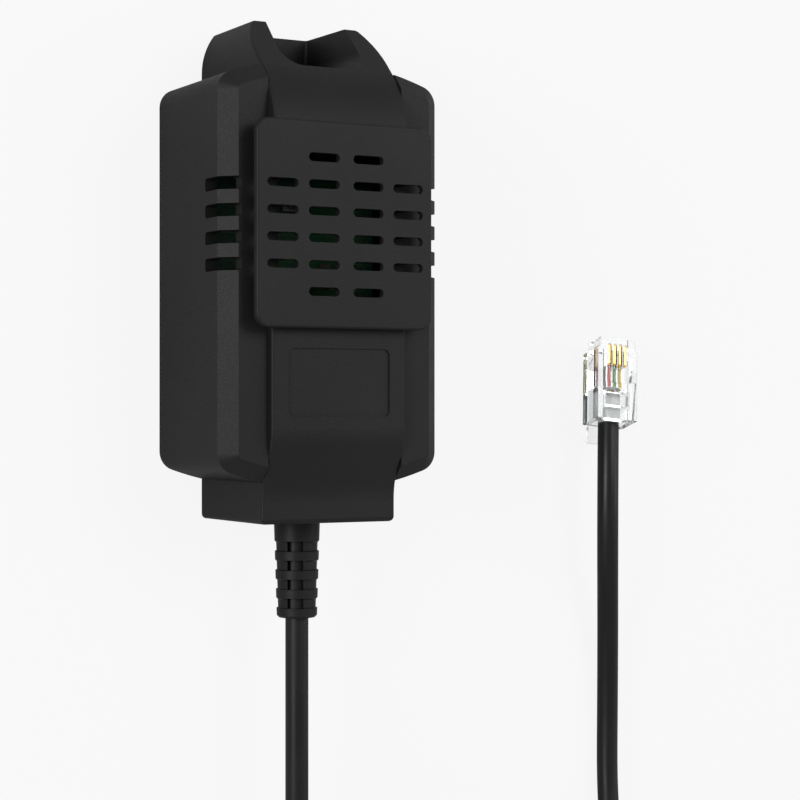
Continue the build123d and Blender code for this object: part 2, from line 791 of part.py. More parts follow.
groove_starts = [boot_collar + number * (boot_groove + boot_ring) for number in range(boot_grooves)]
with BuildPart() as cord_boot:
    with BuildSketch(boot_plane):
        flange_y = neck_wall + boot_wall_gap
        bore = cable_radius + boot_bore_gap
        profile = [
            (bore, flange_y + boot_flange_thickness),
            (boot_flange_radius, flange_y + boot_flange_thickness),
            (boot_flange_radius, flange_y),
            (boot_waist_radius, flange_y),
            (boot_waist_radius, -boot_wall_gap),
            (boot_radius(0), -boot_wall_gap),
        ]
        for start in groove_starts:
            end = start + boot_groove
            slope_length = boot_groove_depth
            profile += [
                (boot_radius(start), -start),
                (boot_radius(start) - boot_groove_depth, -start - slope_length),
                (boot_radius(end) - boot_groove_depth, -end + slope_length / 2),
                (boot_radius(end), -end),
            ]
        profile += [
            (boot_end_radius, -boot_length + boot_end_edge),
            (boot_end_radius - boot_end_edge, -boot_length),
            (bore, -boot_length),
        ]
        with BuildLine():
            Polyline(*profile, close=True)
        make_face()
    revolve(axis=boot_axis)
    for start in groove_starts:
        window_plane = Plane((0, foot - start, cable_height), x_dir=(1, 0, 0), z_dir=(0, -1, 0))
        with BuildSketch(window_plane):
            Rectangle(boot_window_width, 3 * boot_top_radius, rotation=boot_window_turn)
            Circle(boot_core_radius, mode=Mode.SUBTRACT)
        extrude(amount=boot_groove, mode=Mode.SUBTRACT)
save(cord_boot.part, "cord_boot")

# Cable inside the boot, the neck and the clamp, up to where its jacket is stripped
with BuildPart() as cable_inside:
    with BuildSketch(Plane((0, boot_end, cable_height), z_dir=(0, 1, 0))):
        Circle(cable_radius)
    extrude(amount=jacket_y - boot_end)
save(cable_inside.part, "cable_end")

# Modular plug, modelled with its cable end at Y = 0, its nose towards +Y and its contacts up
entry_level = plug_entry_floor + plug_entry_height / 2
wire_level = entry_level + plug_wire_rise
nose_y = plug_length - plug_nose_length
contact_start = plug_length - contact_front - contact_length
contact_top = plug_height - contact_recess
wire_xs = [(way - (ways - 1) / 2) * plug_pitch for way in range(ways)]
with BuildPart() as plug_housing:
    Box(plug_width, nose_y, plug_height, align=(Align.CENTER, Align.MIN, Align.MIN))
    with Locations((0, nose_y, plug_nose_rise)):
        Box(
            plug_width - 2 * plug_nose_inset,
            plug_nose_length,
            plug_height - plug_nose_rise,
            align=(Align.CENTER, Align.MIN, Align.MIN),
        )
    fillet(plug_housing.edges().filter_by(Axis.Y), plug_edge_radius)

    # Cable entry, wire channels, and the window over the jacket
    with BuildSketch(Plane.XZ.offset(-plug_entry_depth)):
        with Locations((0, entry_level)):
            RectangleRounded(plug_entry_width, plug_entry_height, plug_entry_height / 4)
    extrude(amount=plug_entry_depth, mode=Mode.SUBTRACT)
    with BuildSketch(Plane.XZ.offset(-plug_wire_end)):
        with Locations(*[(x, wire_level) for x in wire_xs]):
            Circle(plug_wire_radius + plug_wire_gap)
    extrude(amount=plug_wire_end, mode=Mode.SUBTRACT)
    with BuildSketch(Plane.XY.offset(entry_level)):
        with Locations((0, plug_window_start)):
            Rectangle(plug_window_width, plug_window_length, align=(Align.CENTER, Align.MIN))
    extrude(amount=plug_height, mode=Mode.SUBTRACT)

    # Hollow behind the contacts, and a slot for each contact
    with BuildSketch(Plane.XY.offset(plug_height - comb_depth)):
        with Locations((0, comb_start)):
            Rectangle(ways * plug_pitch, contact_start - comb_start, align=(Align.CENTER, Align.MIN))
    extrude(amount=plug_height, mode=Mode.SUBTRACT)
    with BuildSketch(Plane.XY.offset(wire_level)):
        with Locations(*[(x, contact_start) for x in wire_xs]):
            Rectangle(
                contact_thickness + 2 * contact_gap,
                contact_length,
                align=(Align.CENTER, Align.MIN),
            )
    extrude(amount=plug_height, mode=Mode.SUBTRACT)

    # Latch: a springy tongue from the nose back past the cable's end, with a pair of shoulders
    with BuildSketch(Plane.YZ) as latch_side:
        with BuildLine():
            Polyline(
                (nose_y, latch_root),
                (nose_y, 0),
                (nose_y - latch_root, -latch_thickness),
                (-latch_tail, -latch_drop),
                (-latch_tail, latch_thickness - latch_drop),
                (nose_y - 2 * latch_root, 0),
                (nose_y - 2 * latch_root, latch_root),
                close=True,
            )
        make_face()
    extrude(amount=latch_width / 2, both=True)
    with BuildSketch(Plane.YZ):
        add(latch_side.sketch_local)
        with Locations((latch_shoulder_start, -plug_height / 2)):
            Rectangle(
                latch_shoulder_length,
                plug_height,
                align=(Align.MIN, Align.CENTER),
                mode=Mode.INTERSECT,
            )
    extrude(amount=latch_shoulder_width / 2, both=True)

plug_turn = Rotation(0, 0, plug_yaw) * Rotation(-plug_nose_down, 0, 0) * Rotation(0, plug_roll, 0)
lowest = plug_housing.part.moved(plug_turn).bounding_box().min.Z
plug_place = Pos(plug_x, plug_y, -lowest) * plug_turn
save(plug_housing.part, "plug_housing", plug_place)

for number, x in enumerate(wire_xs, 1):
    with BuildPart() as plug_contact:
        with BuildSketch(Plane.YZ.offset(x - contact_thickness / 2)) as blade:
            with Locations((contact_start, wire_level + plug_wire_radius)):
                Rectangle(
                    contact_length,
                    contact_top - wire_level - plug_wire_radius,
                    align=(Align.MIN, Align.MIN),
                )
            fillet(blade.vertices().group_by(Axis.Y)[-1], contact_corner)
        extrude(amount=contact_thickness)
    save(plug_contact.part, f"plug_contact_{number}", plug_place)
    with BuildPart() as plug_wire:
        with BuildSketch(Plane.XZ.offset(-plug_wire_end)):
            with Locations((x, wire_level)):
                Circle(plug_wire_radius)
        extrude(amount=plug_wire_end - plug_entry_depth)
    save(plug_wire.part, f"plug_wire_{number}", plug_place)

# Jacket inside the plug, held by a bar that is pressed down through the window
with BuildPart() as plug_cable:
    with BuildSketch(Plane.XZ.offset(-plug_entry_depth)):
        with Locations((0, entry_level)):
            Circle(cable_radius)
    extrude(amount=plug_entry_depth)
save(plug_cable.part, "plug_cable_end", plug_place)
with BuildPart() as plug_bar:
    with Locations((0, plug_window_start + plug_window_length / 2, entry_level + cable_radius)):
        Box(
            plug_window_width - 2 * wire_plug_gap,
            plug_bar_length,
            plug_height - plug_bar_rise - entry_level - cable_radius,
            align=(Align.CENTER, Align.CENTER, Align.MIN),
        )
save(plug_bar.part, "plug_bar", plug_place)


def cord_tube(name, points):
    """A stretch of the cord: straight runs joined by arcs as large as the runs allow."""
    points = [Vector(*point) for point in points]
    runs = [end - start for start, end in zip(points, points[1:])]
    radii = []
    for run, next_run in zip(runs, runs[1:]):
        shorter = min(run.length, next_run.length)
        radii.append(bend_share * shorter / tan(radians(run.get_angle(next_run) / 2)))
    with BuildPart() as tube:
        with BuildLine() as route:
            FilletPolyline(*points, radius=radii)
        with BuildSketch(Plane(points[0], z_dir=runs[0])):
            Circle(cable_radius)
        sweep(path=route.line)
    length = sum(edge.length for edge in route.edges())
    print(name, "bend radii", [round(radius, 1) for radius in radii])
    volume_ratio = tube.part.volume / (length * pi * cable_radius**2)
    print(name, "length", round(length, 1), "volume ratio", round(volume_ratio, 4))
    save(tube.part, name)
    return length


# The coil is a closed ring of the outer shape of its turns, one column wider below its top layer
coil_low = tie_thickness + tie_gap
low_level = coil_low + cable_radius
inner_turn = coil_radius - (coil_columns - 1) / 2 * coil_pitch
with BuildPart() as cord_coil:
    with BuildSketch(Plane((coil_x, coil_y, 0), x_dir=(1, 0, 0), z_dir=(0, -1, 0))) as coil_section:
        with Locations((inner_turn - cable_radius, coil_low)):
            Rectangle(
                (coil_columns - 1) * coil_pitch + cable_diameter,
                (coil_layers - 1) * coil_pitch + cable_diameter,
                align=(Align.MIN, Align.MIN),
            )
            Rectangle(
                coil_columns * coil_pitch + cable_diameter,
                (coil_layers - 2) * coil_pitch + cable_diameter,
                align=(Align.MIN, Align.MIN),
            )
        fillet(coil_section.vertices(), coil_corner)
    revolve(axis=Axis((coil_x, coil_y, 0), (0, 0, 1)))
save(cord_coil.part, "cord_coil")

# Tie drawn tight round the bundle, on the coil's far side from the sensor
outermost_turn = inner_turn + coil_columns * coil_pitch
tied_turns = [
    (inner_turn, low_level),
    (outermost_turn, low_level),
    (outermost_turn, low_level + (coil_layers - 2) * coil_pitch),
    (outermost_turn - coil_pitch, low_level + (coil_layers - 1) * coil_pitch),
    (inner_turn, low_level + (coil_layers - 1) * coil_pitch),
]


def round_turns(reach):
    """The line drawn tight round the tied turns, at a distance from the cord's surface."""
    with BuildSketch() as loop:
        with Locations(*tied_turns):
            Circle(cable_radius + reach)
        make_hull()
    return loop.sketch


tie_outside = round_turns(tie_gap + tie_thickness)
tie_inside = round_turns(tie_gap)
tie_plane = Plane((coil_x, coil_y, 0), x_dir=(0, -1, 0), z_dir=(-1, 0, 0))
with BuildPart() as cord_tie:
    with BuildSketch(tie_plane.offset(-tie_width / 2)):
        add(tie_outside)
        add(tie_inside, mode=Mode.SUBTRACT)
    extrude(amount=tie_width)
save(cord_tie.part, "cord_tie")

# Route of the lead, from the boot to the coil's top layer
top_level = low_level + (coil_layers - 1) * coil_pitch
entry_turn = radians(coil_entry_angle)
entry_radius = outermost_turn - coil_pitch
coil_entry = (
    coil_x + entry_radius * cos(entry_turn),
    coil_y + entry_radius * sin(entry_turn),
    top_level,
)
lead_points = [(0, boot_end, cable_height), (0, lead_knee_y, cable_height), coil_entry]
lead_length = cord_tube("cord_lead", lead_points)

# Route of the tail, from the coil's outermost turn down to the table and along it to the plug
coil_exit = (coil_x + outermost_turn, coil_y, top_level - coil_pitch)
plug_entry = (plug_place * Pos(0, 0, entry_level)).position
plug_heading = (plug_place * Pos(0, -plug_straight, entry_level)).position
tail_points = [
    coil_exit,
    ((coil_exit[0] + tail_x) / 2, tail_leave_y, tail_leave_height),
    (tail_x, tail_land_y, tail_land_height),
    (tail_x, tail_rest_y, cable_radius),
    tuple(plug_heading),
    tuple(plug_entry),
]
tail_length = cord_tube("cord_tail", tail_points)
coil_length = 2 * pi * coil_layers * coil_columns * coil_radius + 3 * pi * outermost_turn
print("cord length", lead_length + coil_length + tail_length)
print("coil entry", coil_entry, "exit", coil_exit, "plug heading", plug_heading, "entry", plug_entry)
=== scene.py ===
# Temperature and humidity sensor with its cord and plug, dressed for rendering
import json
import math

import bpy
from mathutils import Matrix, Vector


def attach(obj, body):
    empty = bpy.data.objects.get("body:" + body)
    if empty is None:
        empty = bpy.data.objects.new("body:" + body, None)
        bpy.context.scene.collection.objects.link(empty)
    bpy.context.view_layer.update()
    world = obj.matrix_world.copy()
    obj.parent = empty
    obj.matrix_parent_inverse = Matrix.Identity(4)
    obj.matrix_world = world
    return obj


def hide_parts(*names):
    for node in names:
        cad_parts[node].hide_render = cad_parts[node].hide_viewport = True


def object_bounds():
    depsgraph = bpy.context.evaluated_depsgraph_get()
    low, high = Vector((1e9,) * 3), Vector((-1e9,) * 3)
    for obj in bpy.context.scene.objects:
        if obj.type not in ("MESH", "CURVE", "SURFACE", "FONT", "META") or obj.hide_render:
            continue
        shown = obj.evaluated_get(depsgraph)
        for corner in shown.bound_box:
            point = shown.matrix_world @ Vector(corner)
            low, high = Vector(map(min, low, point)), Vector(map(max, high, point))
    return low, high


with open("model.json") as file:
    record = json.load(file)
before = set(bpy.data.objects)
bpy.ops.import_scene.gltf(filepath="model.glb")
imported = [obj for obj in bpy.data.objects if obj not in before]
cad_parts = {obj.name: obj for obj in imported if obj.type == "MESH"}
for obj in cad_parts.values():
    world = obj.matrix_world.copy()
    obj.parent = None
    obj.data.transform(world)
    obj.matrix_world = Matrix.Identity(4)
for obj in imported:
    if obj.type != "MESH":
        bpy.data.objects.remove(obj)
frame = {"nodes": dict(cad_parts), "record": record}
cadLow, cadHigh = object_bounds()
mm = 0.001
fullTurn = 360.0
white = (1, 1, 1, 1)
print("frame loaded:", len(frame["nodes"]), "nodes")


# camera: the photograph was taken from the sensor's left, level with its lower half
cameraSettings = {
    "place": (-146.3 * mm, -21.55 * mm, 310.3 * mm),
    "yaw": 28.9,  # degrees to the sensor's left of straight ahead
    "lens": 94.2,  # millimetres, as the sensor's width is
    "sensor": 36.0,
    "shiftY": 0.0124,
}


def makeCamera(s):
    yaw = math.radians(s["yaw"])
    right = Vector((math.cos(yaw), 0, math.sin(yaw)))
    up = Vector((0, 1, 0))
    back = right.cross(up)
    turn = Matrix((right, up, back)).transposed().to_4x4()
    cameraData = bpy.data.cameras.new("camera")
    cameraData.lens = s["lens"]
    cameraData.sensor_width = s["sensor"]
    cameraData.shift_y = s["shiftY"]
    camera = bpy.data.objects.new("camera", cameraData)
    camera.matrix_world = Matrix.Translation(Vector(s["place"])) @ turn
    bpy.context.scene.collection.objects.link(camera)
    bpy.context.scene.camera = camera


makeCamera(cameraSettings)
print("camera placed")


# cord: the route of the part's own cord, wound into a tied coil between its lead and its tail
# its points, coil sizes and heights are in millimetres, its radius and length in metres
cordSettings = {
    "radius": 1.85 * mm,
    "length": 2.0,
    "lead": [(0, -54.4, 11.4), (0, -80.0, 11.4), (0, -101.0, 11.4)],
    "coilMiddle": (37.0, -124.0),
    "coilRadius": 20.5,  # middle of the three inner columns
    "coilPitch": 3.8,
    "coilLow": 2.5,  # height of the lowest turns' middle
    "innerColumns": (0, 1, 2),
    "layersDown": (3, 2, 1),
    "lastPlaces": [(0, 0), (1, 0), (2, 0), (3, 0), (3, 1), (3, 2)],  # bottom layer, then up the outside
    "entryAngle": 203.5,
    "crossing": 60.0,  # degrees over which the cord steps to its next place
    "pointsPerTurn": 24,
    "tail": [(65.3, -108.0, 8.6), (65.85, -95.0, 2.0), (66.25, -66.0, 1.85)],
    "tailEnd": [(60.98, -38.48, 9.42), (63.28, -23.99, 6.3)],  # the last point is at the plug's mouth
    "sectionSteps": 8,
    "lengthSteps": 8,
}


def coilPlaces(s):
    # column and layer of each turn, from the top layer down, first towards the coil's middle
    places = []
    columns = s["innerColumns"][::-1]
    for layer in s["layersDown"]:
        places += [(column, layer) for column in columns]
        columns = columns[::-1]
    return places + s["lastPlaces"]


def stepAngles(s, places):
    # where each step to the next place starts, earlier by its own width where the cord turns a corner
    starts = []
    angle = s["entryAngle"] - s["crossing"]
    lastMove = None
    for here, there in zip(places, places[1:]):
        move = (there[0] - here[0], there[1] - here[1])
        angle += fullTurn
        if lastMove is not None and move != lastMove:
            angle -= s["crossing"]
        starts.append(angle)
        lastMove = move
    return starts


def coilPoints(s):
    places = coilPlaces(s)
    starts = stepAngles(s, places)
    step = fullTurn / s["pointsPerTurn"]
    reach = 4 / (3 + math.cos(math.radians(step)))  # a spline cuts inside its points
    end = fullTurn * math.ceil(starts[-1] / fullTurn)
    middleColumn = s["innerColumns"][1]
    points = []
    count = int((end - s["entryAngle"]) / step)
    for number in range(count + 1):
        angle = end - (count - number) * step
        column, layer = places[0]
        for start, here, there in zip(starts, places, places[1:]):
            share = min(max((angle - start) / s["crossing"], 0), 1)
            share = share * share * (3 - 2 * share)  # eased at both ends of the step
            column += share * (there[0] - here[0])
            layer += share * (there[1] - here[1])
        radius = (s["coilRadius"] + (column - middleColumn) * s["coilPitch"]) * reach
        x = s["coilMiddle"][0] + radius * math.cos(math.radians(angle))
        y = s["coilMiddle"][1] + radius * math.sin(math.radians(angle))
        points.append((x, y, s["coilLow"] + layer * s["coilPitch"]))
    return points


def makeCord(s):
    points = s["lead"] + coilPoints(s) + s["tail"] + s["tailEnd"]
    curve = bpy.data.curves.new("cord", "CURVE")
    curve.dimensions = "3D"
    curve.bevel_depth = 1.0  # each point's own radius makes the cord's
    curve.bevel_resolution = s["sectionSteps"]
    curve.resolution_u = s["lengthSteps"]
    curve.use_fill_caps = True
    line = curve.splines.new("NURBS")
    line.points.add(len(points) - 1)
    for point, place in zip(line.points, points):
        point.co = (*[value * mm for value in place], 1)
        point.radius = s["radius"]
    line.order_u = 3
    line.use_endpoint_u = True
    cord = bpy.data.objects.new("cord", curve)
    bpy.context.scene.collection.objects.link(cord)
    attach(cord, "root")
    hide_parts("cord_lead", "cord_coil", "cord_tail")
    onCord = [name for name in frame["nodes"] if name.startswith("plug_")]
    onCord += ["cord_boot", "cord_tie", "cable_end"]
    return cord


cord = makeCord(cordSettings)
print("cord wound")


# small helpers for node trees
def startGroup(name, inputs, outputs):
    group = bpy.data.node_groups.new(name, "ShaderNodeTree")
    for label, kind, value in inputs:
        socket = group.interface.new_socket(label, in_out="INPUT", socket_type=kind)
        if value is not None:
            socket.default_value = value
    for label, kind in outputs:
        group.interface.new_socket(label, in_out="OUTPUT", socket_type=kind)
    return group, group.nodes.new("NodeGroupInput"), group.nodes.new("NodeGroupOutput")


def feed(tree, socket, value):
    if isinstance(value, bpy.types.NodeSocket):
        tree.links.new(value, socket)
    else:
        socket.default_value = value


def addNode(tree, kind, settings=None, **inputs):
    # an input is named as its socket is, with _ for a space, or in0, in1 ... by its number
    node = tree.nodes.new(kind)
    for key, value in (settings or {}).items():
        setattr(node, key, value)
    for key, value in inputs.items():
        numbered = key.startswith("in") and key[2:].isdigit()
        feed(tree, node.inputs[int(key[2:]) if numbered else key.replace("_", " ")], value)
    return node


def calc(tree, operation, first, second):
    return addNode(tree, "ShaderNodeMath", {"operation": operation}, in0=first, in1=second).outputs[0]


def spread(tree, value, span, reach=(0.0, 1.0)):
    node = addNode(
        tree, "ShaderNodeMapRange", {"interpolation_type": "SMOOTHSTEP"}, Value=value,
        From_Min=span[0], From_Max=span[1], To_Min=reach[0], To_Max=reach[1],
    )
    return node.outputs["Result"]


def mixNumbers(tree, share, first, second):
    return addNode(tree, "ShaderNodeMix", {"data_type": "FLOAT"}, in0=share, in2=first, in3=second).outputs[0]


def mixColors(tree, share, first, second):
    return addNode(tree, "ShaderNodeMix", {"data_type": "RGBA"}, in0=share, in6=first, in7=second).outputs[2]


# the fine pitted grain that a spark-eroded mould leaves on the shell, and its duller and shinier spots
grainSettings = {
    "pitSmoothness": 0.6,
    "fineScale": 1.7,  # times the pits' own
    "fineDetail": 3.0,
    "fineRoughness": 0.6,
    "fineShare": 0.7,
    "shinyFrom": (0.35, 1.05),
}


def buildMouldGrain(s):
    tree, given, made = startGroup(
        "mouldGrain",
        [("Place", "NodeSocketVector", None), ("Fineness", "NodeSocketFloat", None),
         ("Dull", "NodeSocketFloat", None), ("Shiny", "NodeSocketFloat", None)],
        [("Height", "NodeSocketFloat"), ("Roughness", "NodeSocketFloat")],
    )
    place, fineness = given.outputs["Place"], given.outputs["Fineness"]
    pits = addNode(
        tree, "ShaderNodeTexVoronoi", {"feature": "SMOOTH_F1"},
        Vector=place, Scale=fineness, Smoothness=s["pitSmoothness"],
    )
    fine = addNode(
        tree, "ShaderNodeTexNoise", Vector=place, Scale=calc(tree, "MULTIPLY", fineness, s["fineScale"]),
        Detail=s["fineDetail"], Roughness=s["fineRoughness"],
    )
    fineHeight = calc(tree, "MULTIPLY", fine.outputs["Fac"], s["fineShare"])
    height = calc(tree, "ADD", pits.outputs["Distance"], fineHeight)
    share = spread(tree, height, s["shinyFrom"])
    roughness = mixNumbers(tree, share, given.outputs["Dull"], given.outputs["Shiny"])
    feed(tree, made.inputs["Height"], height)
    feed(tree, made.inputs["Roughness"], roughness)
    return tree


# slow changes of tone over a piece: flow of the plastic, handling, a little settled dust
handlingSettings = {
    "patchScale": 45.0,  # unless a material gives its own
    "patchDetail": 4.0,
    "patchRoughness": 0.55,
    "patchDistortion": 0.4,
    "rubbedFrom": (0.38, 0.68),
    "speckScale": 1900.0,
    "speckDetail": 1.0,
    "speckFrom": (0.66, 0.74),
}


def buildHandling(s):
    tree, given, made = startGroup(
        "handling",
        [("Place", "NodeSocketVector", None), ("Plain", "NodeSocketColor", None),
         ("Faded", "NodeSocketColor", None), ("Patch Scale", "NodeSocketFloat", s["patchScale"]),
         ("Dust", "NodeSocketFloat", None)],
        [("Color", "NodeSocketColor"), ("Rubbed", "NodeSocketFloat")],
    )
    place = given.outputs["Place"]
    patches = addNode(
        tree, "ShaderNodeTexNoise", Vector=place, Scale=given.outputs["Patch Scale"],
        Detail=s["patchDetail"], Roughness=s["patchRoughness"], Distortion=s["patchDistortion"],
    )
    rubbed = spread(tree, patches.outputs["Fac"], s["rubbedFrom"])
    specks = addNode(tree, "ShaderNodeTexNoise", Vector=place, Scale=s["speckScale"], Detail=s["speckDetail"])
    dust = calc(tree, "MULTIPLY", spread(tree, specks.outputs["Fac"], s["speckFrom"]), given.outputs["Dust"])
    worn = calc(tree, "ADD", rubbed, dust)
    feed(tree, made.inputs["Color"], mixColors(tree, worn, given.outputs["Plain"], given.outputs["Faded"]))
    feed(tree, made.inputs["Rubbed"], rubbed)
    return tree


# copper tracks under the board's green lacquer, as runs with square turns
trackSettings = {
    "brick": {"offset": 0.5, "squash": 1.6, "squash_frequency": 3},
    "trackWidth": 0.09,
    "trackEdge": 0.3,
    "runLength": 2.4,
    "runPitch": 0.9,
}


def buildTracks(s):
    tree, given, made = startGroup(
        "boardTracks",
        [("Place", "NodeSocketVector", None), ("Pitch Scale", "NodeSocketFloat", None)],
        [("Tracks", "NodeSocketFloat")],
    )
    scaled = addNode(
        tree, "ShaderNodeVectorMath", {"operation": "SCALE"},
        in0=given.outputs["Place"], Scale=given.outputs["Pitch Scale"],
    )
    runs = addNode(
        tree, "ShaderNodeTexBrick", s["brick"], Vector=scaled.outputs[0], Scale=1.0,
        Mortar_Size=s["trackWidth"], Mortar_Smooth=s["trackEdge"],
        Brick_Width=s["runLength"], Row_Height=s["runPitch"],
    )
    feed(tree, made.inputs["Tracks"], runs.outputs["Fac"])
    return tree


# fine marks of drawing on an extruded jacket, a core or a metal strip
drawnSettings = {
    "grainScale": 2600.0,  # unless a material gives its own
    "grainDetail": 4.0,
    "grainRoughness": 0.5,
    "slowScale": 120.0,
    "slowDetail": 2.0,
    "slowFrom": (0.35, 0.65),
}


def buildDrawnSkin(s):
    tree, given, made = startGroup(
        "drawnSkin",
        [("Place", "NodeSocketVector", None), ("Grain", "NodeSocketFloat", s["grainScale"]),
         ("Low", "NodeSocketFloat", None), ("High", "NodeSocketFloat", None)],
        [("Height", "NodeSocketFloat"), ("Roughness", "NodeSocketFloat")],
    )
    place = given.outputs["Place"]
    grain = addNode(
        tree, "ShaderNodeTexNoise", Vector=place, Scale=given.outputs["Grain"],
        Detail=s["grainDetail"], Roughness=s["grainRoughness"],
    )
    slow = addNode(tree, "ShaderNodeTexNoise", Vector=place, Scale=s["slowScale"], Detail=s["slowDetail"])
    share = spread(tree, slow.outputs["Fac"], s["slowFrom"])
    feed(tree, made.inputs["Height"], grain.outputs["Fac"])
    feed(tree, made.inputs["Roughness"], mixNumbers(tree, share, given.outputs["Low"], given.outputs["High"]))
    return tree


groups = {
    "mouldGrain": buildMouldGrain(grainSettings),
    "handling": buildHandling(handlingSettings),
    "boardTracks": buildTracks(trackSettings),
    "drawnSkin": buildDrawnSkin(drawnSettings),
}
print("shared finishes built:", ", ".join(groups))


def startMaterial(name):
    material = bpy.data.materials.new(name)
    material.use_nodes = True
    tree = material.node_tree
    shader = tree.nodes["Principled BSDF"]
    place = tree.nodes.new("ShaderNodeTexCoord").outputs["Object"]
    return material, tree, shader, place


def useGroup(tree, name, **inputs):
    return addNode(tree, "ShaderNodeGroup", {"node_tree": groups[name]}, **inputs)


def addBump(tree, shader, height, strength, depth):
    bump = addNode(tree, "ShaderNodeBump", Height=height, Strength=strength, Distance=depth)
    feed(tree, shader.inputs["Normal"], bump.outputs["Normal"])


# grained black shell plastic, and what varies from it
housingSettings = {
    "plain": (0.0088, 0.0088, 0.009, 1),
    "faded": (0.0108, 0.0108, 0.011, 1),
    "fineness": 5200.0,
    "dull": 0.6,
    "shiny": 0.5,
    "specular": 0.175,
    "bump": 0.35,
    "depth": 0.04 * mm,
    "dust": 0.1,
}
coverSettings = dict(housingSettings, plain=(0.0084, 0.0084, 0.0088, 1), fineness=4200.0)
bootSettings = dict(
    housingSettings, plain=(0.008, 0.008, 0.0082, 1), faded=(0.0102, 0.0102, 0.0104, 1),
    fineness=3600.0, dull=0.52, shiny=0.44, bump=0.25,
)
tieSettings = dict(
    housingSettings, plain=(0.018, 0.018, 0.018, 1), faded=(0.03, 0.03, 0.03, 1),
    fineness=1500.0, dull=0.75, shiny=0.6, bump=0.7, depth=0.1 * mm,
)
chipSettings = dict(
    housingSettings, plain=(0.015, 0.015, 0.016, 1), faded=(0.02, 0.02, 0.021, 1),
    fineness=9000.0, dull=0.55, shiny=0.4, bump=0.3, depth=0.02 * mm,
)
headerSettings = dict(
    housingSettings, plain=(0.012, 0.012, 0.013, 1), faded=(0.016, 0.016, 0.017, 1),
    fineness=6000.0, dull=0.55, shiny=0.45, bump=0.1, depth=0.02 * mm, dust=0.02,
)
smallPartSettings = dict(
    housingSettings, plain=(0.035, 0.028, 0.02, 1), faded=(0.05, 0.04, 0.03, 1),
    fineness=9000.0, dull=0.5, shiny=0.4, specular=0.4, bump=0.15, depth=0.02 * mm,
)
sensorChipSettings = dict(
    housingSettings, plain=(0.03, 0.03, 0.032, 1), faded=(0.04, 0.04, 0.042, 1),
    fineness=9000.0, dull=0.5, shiny=0.4, specular=0.4, bump=0.1, depth=0.01 * mm,
)


def makeMoulded(name, s):
    material, tree, shader, place = startMaterial(name)
    grain = useGroup(
        tree, "mouldGrain", Place=place, Fineness=s["fineness"], Dull=s["dull"], Shiny=s["shiny"]
    )
    tone = useGroup(tree, "handling", Place=place, Plain=s["plain"], Faded=s["faded"], Dust=s["dust"])
    feed(tree, shader.inputs["Base Color"], tone.outputs["Color"])
    feed(tree, shader.inputs["Roughness"], grain.outputs["Roughness"])
    shader.inputs["Specular IOR Level"].default_value = s["specular"]
    addBump(tree, shader, grain.outputs["Height"], s["bump"], s["depth"])
    return material


# extruded jackets and cores
jacketSettings = {
    "plain": (0.004, 0.004, 0.0042, 1),
    "faded": (0.0055, 0.0055, 0.0057, 1),
    "low": 0.36,
    "high": 0.46,
    "grain": 2600.0,
    "specular": 0.24,
    "bump": 0.12,
    "depth": 0.05 * mm,
    "dust": 0.05,
}
coreSettings = {
    "core_black": dict(jacketSettings, plain=(0.015, 0.015, 0.015, 1), faded=(0.02, 0.02, 0.02, 1)),
    "core_red": dict(jacketSettings, plain=(0.5, 0.02, 0.02, 1), faded=(0.62, 0.04, 0.03, 1)),
    "core_green": dict(jacketSettings, plain=(0.03, 0.25, 0.04, 1), faded=(0.05, 0.34, 0.06, 1)),
    "core_yellow": dict(jacketSettings, plain=(0.72, 0.42, 0.03, 1), faded=(0.8, 0.52, 0.07, 1)),
}


def makeDrawn(name, s):
    material, tree, shader, place = startMaterial(name)
    skin = useGroup(tree, "drawnSkin", Place=place, Grain=s["grain"], Low=s["low"], High=s["high"])
    tone = useGroup(tree, "handling", Place=place, Plain=s["plain"], Faded=s["faded"], Dust=s["dust"])
    feed(tree, shader.inputs["Base Color"], tone.outputs["Color"])
    feed(tree, shader.inputs["Roughness"], skin.outputs["Roughness"])
    shader.inputs["Specular IOR Level"].default_value = s["specular"]
    addBump(tree, shader, skin.outputs["Height"], s["bump"], s["depth"])
    return material


# the cable's light inner sleeve in the plug, turning dark from 5.1 to 5.3 mm in from the plug's entry onwards
sleeveSettings = {
    "sleeve": (0.36, 0.37, 0.36, 1),
    # the dark colour of the cable end deeper in than 5.3 mm from the plug's entry
    "jacket": (0.006, 0.006, 0.006, 1),
    "jacketFrom": (5.1 * mm, 5.3 * mm),  # from the plug's entry
    "low": 0.5,
    "high": 0.6,
}


def makeSleeve(name, s):
    material, tree, shader, place = startMaterial(name)
    heading, entry = (Vector(point) * mm for point in cordSettings["tailEnd"])
    inward = (entry - heading).normalized()
    reach = addNode(tree, "ShaderNodeVectorMath", {"operation": "SUBTRACT"}, in0=place, in1=entry).outputs[0]
    along = addNode(tree, "ShaderNodeVectorMath", {"operation": "DOT_PRODUCT"}, in0=reach, in1=inward)
    share = spread(tree, along.outputs["Value"], s["jacketFrom"])
    skin = useGroup(tree, "drawnSkin", Place=place, Low=s["low"], High=s["high"])
    # light up to 5.1 mm in from the entry, dark past 5.3 mm
    feed(tree, shader.inputs["Base Color"], mixColors(tree, share, s["sleeve"], s["jacket"]))
    feed(tree, shader.inputs["Roughness"], skin.outputs["Roughness"])
    return material


# lacquered board with tracks that show through
boardSettings = {
    "lacquer": (0.005, 0.036, 0.014, 1),
    "overTrack": (0.009, 0.06, 0.021, 1),
    "pitchScale": 420.0,
    "roughness": (0.5, 0.6),
    "specular": 0.2,
    "bump": 0.3,
    "depth": 0.04 * mm,
    "dust": 0.02,
}


